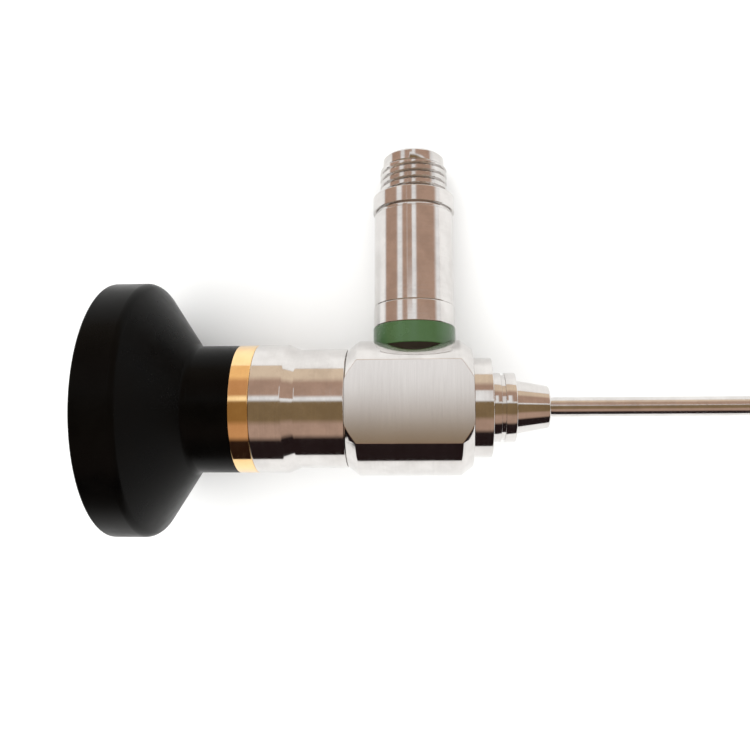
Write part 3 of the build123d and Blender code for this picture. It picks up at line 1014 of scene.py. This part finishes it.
@dataclass(frozen=True)
class LightPost:
    """The stack of rings on the post, clamped by a threaded nipple."""

    station: float = 37.2
    start: float = 7.35
    colour_radius: float = 5.15
    colour_height: float = 2.65
    ring_radius: float = 5.1
    ring_height: float = 2.7
    sleeve_radius: float = 5.05
    sleeve_height: float = 12.0
    neck_radius: float = 4.75
    neck_height: float = 0.42
    collar_radius: float = 5.225
    collar_height: float = 2.05
    stem_bore: float = 3.02
    stem_radius: float = 3.0
    stem_foot: float = 4.0
    thread_radius: float = 4.3
    thread_pitch: float = 0.9
    thread_turns: float = 4.5
    thread_depth: float = 0.42
    thread_rings: int = 90
    flank_slope: float = 4.4
    crest_share: float = 1.25
    run_out_turns: float = 0.45
    lead_radius: float = 3.925
    lead_height: float = 1.4
    lead_chamfer: float = 0.3
    bush_radius: float = 1.5
    bush_bore: float = 0.92
    bush_length: float = 6.5
    bond_gap: float = 0.02
    edge: float = 0.12

    def head_start(self) -> float:
        """Give the reach where the nipple's head starts, above the stack of rings."""
        return (self.start + self.colour_height + self.ring_height + self.sleeve_height
                + self.neck_height + self.collar_height + self.bond_gap)

    def lead_start(self) -> float:
        """Give the reach where the thread ends and the plain lead starts."""
        return self.head_start() + self.thread_pitch * self.thread_turns

    def end(self) -> float:
        """Give the reach of the end of the post."""
        return self.lead_start() + self.lead_height

    def ring(self, name: str, low: float, height: float, radius: float) -> Piece:
        """Turn one plain ring of the stack.

        Args:
            name: The piece's name.
            low: The reach where it starts.
            height: Its height along the post.
            radius: Its outer radius.

        Returns:
            The ring, along its own Z.
        """
        high = low + height
        return Shop.turn(name, [
            Corner(low, self.stem_bore), Corner(low, radius, self.edge),
            Corner(high, radius, self.edge), Corner(high, self.stem_bore)])

    def collar(self, low: float) -> Piece:
        """Turn the top ring, with the narrow neck under it."""
        flange = low + self.neck_height
        high = flange + self.collar_height
        return Shop.turn("post_top_ring", [
            Corner(low, self.stem_bore), Corner(low, self.neck_radius),
            Corner(flange, self.neck_radius, 0.06),
            Corner(flange, self.collar_radius, self.edge),
            Corner(high, self.collar_radius, self.edge), Corner(high, self.stem_bore)])

    def nipple(self) -> Piece:
        """Turn the nipple in many rings and cut the thread into its head."""
        head, lead, end = self.head_start(), self.lead_start(), self.end()
        root = self.thread_radius - self.thread_depth
        step = (lead - head) / self.thread_rings
        blank = [Corner(head + index * step, self.thread_radius)
                 for index in range(1, self.thread_rings)]
        nipple = Shop.turn("post_threaded_end", [
            Corner(self.stem_foot, self.bush_bore), Corner(self.stem_foot, self.stem_radius),
            Corner(head, self.stem_radius), Corner(head, root), *blank,
            Corner(lead, self.lead_radius),
            Corner(end, self.lead_radius, self.lead_chamfer, 1),
            Corner(end, self.bush_radius + self.bond_gap, 0.08),
            Corner(end - self.bush_length, self.bush_radius + self.bond_gap),
            Corner(end - self.bush_length, self.bush_bore)])
        self.cut_thread(nipple, head, lead)
        return nipple

    def cut_thread(self, nipple: Piece, low: float, high: float) -> None:
        """Move the rings of the head onto a helical thread that runs out at both ends.

        Args:
            nipple: The turned nipple, along its own Z.
            low: The reach where the thread starts.
            high: The reach where it ends.
        """
        crest = self.thread_radius * MM
        run_out = self.run_out_turns * self.thread_pitch
        for point in nipple.data.vertices:
            radius = math.hypot(point.co.x, point.co.y)
            if abs(radius - crest) > SAME_PLACE:
                continue
            reach = point.co.z / MM
            turn = math.atan2(point.co.y, point.co.x) / math.tau
            phase = (reach / self.thread_pitch - turn) % 1.0
            flank = min(1.0, max(0.0, self.flank_slope * abs(phase - 0.5) - self.crest_share))
            depth = self.thread_depth * flank
            edge = min(reach - low, high - reach) / run_out
            depth += (self.thread_depth - depth) * max(0.0, 1.0 - edge)
            scale = 1 - depth / self.thread_radius
            point.co.x *= scale
            point.co.y *= scale

    def bush(self) -> Piece:
        """Turn the bush that holds the fibres in the end of the post."""
        end = self.end()
        return Shop.turn("post_fibre_bush", [
            Corner(end - self.bush_length, self.bush_bore),
            Corner(end - self.bush_length, self.bush_radius),
            Corner(end, self.bush_radius, 0.06), Corner(end, self.bush_bore, 0.04)],
            segments=Shop.SMALL_SEGMENTS)

    def build(self, kit: Kit) -> None:
        """Make, lay and dress every piece of the post."""
        ring_low = self.start + self.colour_height
        sleeve_low = ring_low + self.ring_height
        collar_low = sleeve_low + self.sleeve_height
        steel = kit.finishes.post_steel
        kit.dress(
            kit.bench.place(Lie.POST, self.station),
            (self.ring("colour_band", self.start, self.colour_height, self.colour_radius),
             kit.finishes.green_ring, "green_plastic", "colour_ring"),
            (self.ring("post_foot_ring", ring_low, self.ring_height, self.ring_radius),
             steel, "turned_steel", "post_ring"),
            (self.ring("post_barrel", sleeve_low, self.sleeve_height, self.sleeve_radius),
             steel, "turned_steel", "post_sleeve"),
            (self.collar(collar_low), steel, "turned_steel", "post_collar"),
            (self.nipple(), kit.finishes.thread_steel, "turned_steel", "post_nipple"),
            (self.bush(), steel, "turned_steel", "post_ferrule"))


@dataclass(frozen=True)
class InnerParts:
    """The solids that are kept as they are, most of them inside the instrument."""

    glass_words: tuple[str, ...] = ("lens", "window")
    black_words: tuple[str, ...] = ("cell", "retainer", "stop", "spacer")
    rubber_words: tuple[str, ...] = ("seal",)

    def finish_for(self, name: str, finishes: Finishes) -> Material:
        """Choose the finish of a kept solid by what it is.

        Args:
            name: The node's name.
            finishes: All finishes.

        Returns:
            The material.
        """
        choices = (
            (self.rubber_words, finishes.rubber),
            (self.black_words, finishes.black_metal),
            (("fibre",), finishes.fibre),
            (self.glass_words, finishes.glass),
        )
        for words, material in choices:
            if any(word in name for word in words):
                return material
        return finishes.tube_steel

    def build(self, kit: Kit, nodes: dict[str, Piece]) -> None:
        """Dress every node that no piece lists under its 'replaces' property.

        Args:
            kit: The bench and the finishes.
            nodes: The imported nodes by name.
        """
        replaced = {name for piece in bpy.data.objects for name in piece.get("replaces", ())}
        for name, node in nodes.items():
            if name in replaced:
                continue
            material = self.finish_for(name, kit.finishes)
            if not node.material_slots:
                node.data.materials.append(material)
            for slot in node.material_slots:
                slot.material = material
            log.info("%s: kept with finish %s", name, material.name)


@dataclass(frozen=True)
class Band:
    """One card of the studio, between two angles from straight above, in degrees."""

    low: float
    high: float
    colour: Colour


@dataclass(frozen=True)
class Camera:
    """The camera, with its place given from the optical axis on the bench."""

    station: float = 38.88
    distance: float = 99.75
    lean: float = 7.05
    tilt: float = 2.364
    swing: float = 3.797
    twist: float = -0.366
    focal_pixels: float = 801.6
    picture_pixels: float = 750.0
    sensor: float = 36.0

    def facing(self) -> Matrix:
        """Give the right, up and back directions of a camera square to the optical axis."""
        return Matrix.Rotation(math.radians(self.lean), 4, "X")

    def build(self, kit: Kit) -> Piece:
        """Make the camera and set it as the scene's own.

        Args:
            kit: The bench and the finishes.

        Returns:
            The camera.
        """
        back = self.facing() @ Vector((0, 0, self.distance * MM))
        spot = Vector((self.station * MM, 0, 0)) + back
        turn = (
            Matrix.Rotation(math.radians(self.swing), 4, "Y")
            @ Matrix.Rotation(math.radians(self.tilt), 4, "X")
            @ Matrix.Rotation(math.radians(self.twist), 4, "Z"))
        data = bpy.data.cameras.new("camera")
        data.sensor_width = self.sensor
        data.lens = self.focal_pixels / self.picture_pixels * self.sensor
        data.clip_start = 0.01
        data.clip_end = 20.0
        camera = bpy.data.objects.new("camera", data)
        bpy.context.collection.objects.link(camera)
        camera.matrix_world = (
            kit.bench.matrix @ Matrix.Translation(spot) @ self.facing() @ turn)
        bpy.context.scene.camera = camera
        return camera


class RoomGraph(Graph):
    """The nodes of the world, which give a colour to each direction."""

    def __init__(self, tree: bpy.types.NodeTree) -> None:
        """Start from an empty tree and the direction that is looked in."""
        tree.nodes.clear()
        self.tree = tree
        self.look = self.add("ShaderNodeTexCoord").outputs["Generated"]

    def along(self, axis: Vector) -> Socket:
        """Say how far the direction points along an axis."""
        return self.add(
            "ShaderNodeVectorMath", {0: self.look, 1: axis.to_3d()},
            operation="DOT_PRODUCT").outputs["Value"]

    def step(self, value: Socket, low: float, high: float) -> Socket:
        """Give 0 at one value and 1 at another, with a soft step between."""
        return self.add(
            "ShaderNodeMapRange", {0: value, 1: low, 2: high},
            interpolation_type="SMOOTHSTEP").outputs[0]

    def ramp(self, across: Socket, ahead: Socket, bands: tuple[Band, ...]) -> Socket:
        """Give the colour of the cards at the angle of a direction from straight ahead.

        Args:
            across: How far the direction points to the side.
            ahead: How far it points straight ahead.
            bands: The cards in order.

        Returns:
            The colour.
        """
        angle = self.math("ARCTAN2", across, ahead)
        place = self.add("ShaderNodeMapRange", {0: angle, 1: -math.pi, 2: math.pi})
        node = self.add("ShaderNodeValToRGB", {0: place.outputs[0]})
        stops = node.color_ramp.elements
        ends = [(end, band.colour) for band in bands for end in (band.low, band.high)]
        for index, (degrees, shade) in enumerate(ends):
            position = degrees / 360 + 0.5
            stop = stops[index] if index < 2 else stops.new(position)
            stop.position = position
            stop.color = (*shade, 1)
        return node.outputs[0]

    def close(self, cards: Socket, card_light: float, room_light: float) -> None:
        """Show the cards to reflection, and plain white to everything else.

        Args:
            cards: The colour of the cards.
            card_light: How bright the cards are.
            room_light: How bright the plain white is.
        """
        seen = self.add("ShaderNodeBackground", {"Color": cards, "Strength": card_light})
        plain = self.add(
            "ShaderNodeBackground", {"Color": (1, 1, 1, 1), "Strength": room_light})
        glossy = self.add("ShaderNodeLightPath").outputs["Is Glossy Ray"]
        pick = self.add(
            "ShaderNodeMixShader", {0: glossy, 1: plain.outputs[0], 2: seen.outputs[0]})
        self.add("ShaderNodeOutputWorld", {"Surface": pick.outputs[0]})


WHITE: Colour = (1.2, 1.2, 1.2)
CREAM: Colour = (1.0, 0.8, 0.6)
TAN: Colour = (0.6, 0.4, 0.3)
BROWN: Colour = (0.3, 0.2, 0.1)
DARK: Colour = (0.02, 0.01, 0.01)


@dataclass(frozen=True)
class Studio:
    """A pale table, soft white light, and a room of pale and dark cards for the metal.

    The room is plain white to everything but mirror-like reflection, which sees the cards.
    """

    floor_half: float = 3.0
    floor_white: Colour = (0.93, 0.93, 0.92)
    room_light: float = 1.05
    card_light: float = 1.0
    lamp_power: float = 3.6
    lamp_width: float = 1.3
    behind_low: tuple[float, float] = (0.185, 0.195)
    behind_high: tuple[float, float] = (0.56, 0.50)
    scope_left: tuple[float, float] = (-0.29, -0.275)
    scope_right: tuple[float, float] = (-0.065, -0.08)
    long_cards: tuple[Band, ...] = (
        Band(-180, -105, WHITE),
        Band(-100, -60, DARK),
        Band(-50, -30, TAN),
        Band(-20, 12, BROWN),
        Band(16, 20, WHITE),
        Band(25, 50, TAN),
        Band(60, 180, CREAM),
    )
    post_cards: tuple[Band, ...] = (
        Band(-180, -90, WHITE),
        Band(-85, -50, TAN),
        Band(-45, -35, WHITE),
        Band(-30, -20, TAN),
        Band(-15, 5, WHITE),
        Band(10, 60, TAN),
        Band(70, 180, WHITE),
    )

    def floor(self) -> None:
        """Lay the table under the instrument."""
        Shop.clear()
        bpy.ops.mesh.primitive_plane_add(size=2 * self.floor_half, location=(0, 0, 0))
        table = bpy.context.object
        table.name = "table"
        graph = Graph("table_paint")
        point = graph.add("ShaderNodeTexCoord").outputs["Object"]
        mottle = graph.noise(point, (30.0, 30.0, 30.0), detail=2.0)
        shade = tuple(0.985 * part for part in self.floor_white)
        table.data.materials.append(graph.finish(
            Base_Color=graph.blend(mottle, self.floor_white, shade), Roughness=0.7,
            Specular_IOR_Level=0.2))

    def room(self, bench: Matrix, facing: Matrix) -> None:
        """Build the room round the instrument.

        Args:
            bench: The bench's own axes.
            facing: The right, up and back directions that the long cards are counted from.
        """
        world = bpy.data.worlds.new("studio")
        bpy.context.scene.world = world
        world.use_nodes = True
        cards = RoomGraph(world.node_tree)
        right, level, out = (cards.along(axis) for axis in bench.col[:3])
        scope = cards.math(
            "MULTIPLY", cards.step(right, *self.scope_left),
            cards.step(right, *self.scope_right))
        behind = cards.math(
            "MULTIPLY", cards.step(level, *self.behind_low),
            cards.step(level, *self.behind_high))
        post_side = cards.math("MULTIPLY", behind, cards.math("SUBTRACT", 1.0, scope))
        up, back = (cards.along(axis) for axis in facing.col[1:3])
        seen = cards.add(
            "ShaderNodeMix",
            {0: post_side, 6: cards.ramp(up, back, self.long_cards),
             7: cards.ramp(right, out, self.post_cards)}, data_type="RGBA").outputs[2]
        cards.close(seen, self.card_light, self.room_light)

    def lamps(self) -> None:
        """Hang two soft lamps that light the table and stay out of the reflections."""
        for name, spot in (("soft_key", (0.15, -0.15, 0.80)), ("soft_fill", (-0.3, 0.35, 0.8))):
            data = bpy.data.lights.new(name, "AREA")
            data.energy = self.lamp_power
            data.size = self.lamp_width
            lamp = bpy.data.objects.new(name, data)
            bpy.context.collection.objects.link(lamp)
            lamp.location = spot
            lamp.rotation_euler = Vector(spot).to_track_quat("Z", "Y").to_euler()
            lamp.visible_glossy = False

    def build(self, kit: Kit, camera: Camera) -> None:
        """Make the table, the room and the lamps."""
        self.floor()
        axes = kit.bench.matrix.to_3x3().to_4x4()
        self.room(axes, axes @ camera.facing())
        self.lamps()
        settings = bpy.context.scene.view_settings
        settings.view_transform = "Standard"
        settings.look = "None"


def main() -> None:
    """Build the instrument group by group, then the studio and the camera."""
    logging.basicConfig(level=logging.INFO, format="%(name)s: %(message)s")
    bench = Bench.from_record(frame["record"])
    kit = Kit(bench, Finishes(bench))
    eyecup = Eyecup()
    post = LightPost()
    floor_station = eyecup.floor_station()
    groups = (
        eyecup,
        WindowGroup(floor_station),
        OcularHousing(floor_station),
        BodyBlock(post.station),
        FrontGroup(),
        post,
    )
    for group in groups:
        group.build(kit)
        log.info("built %s", type(group).__name__)
    InnerParts().build(kit, frame["nodes"])
    camera = Camera()
    camera.build(kit)
    Studio().build(kit, camera)


if __name__ == "__main__":
    main()
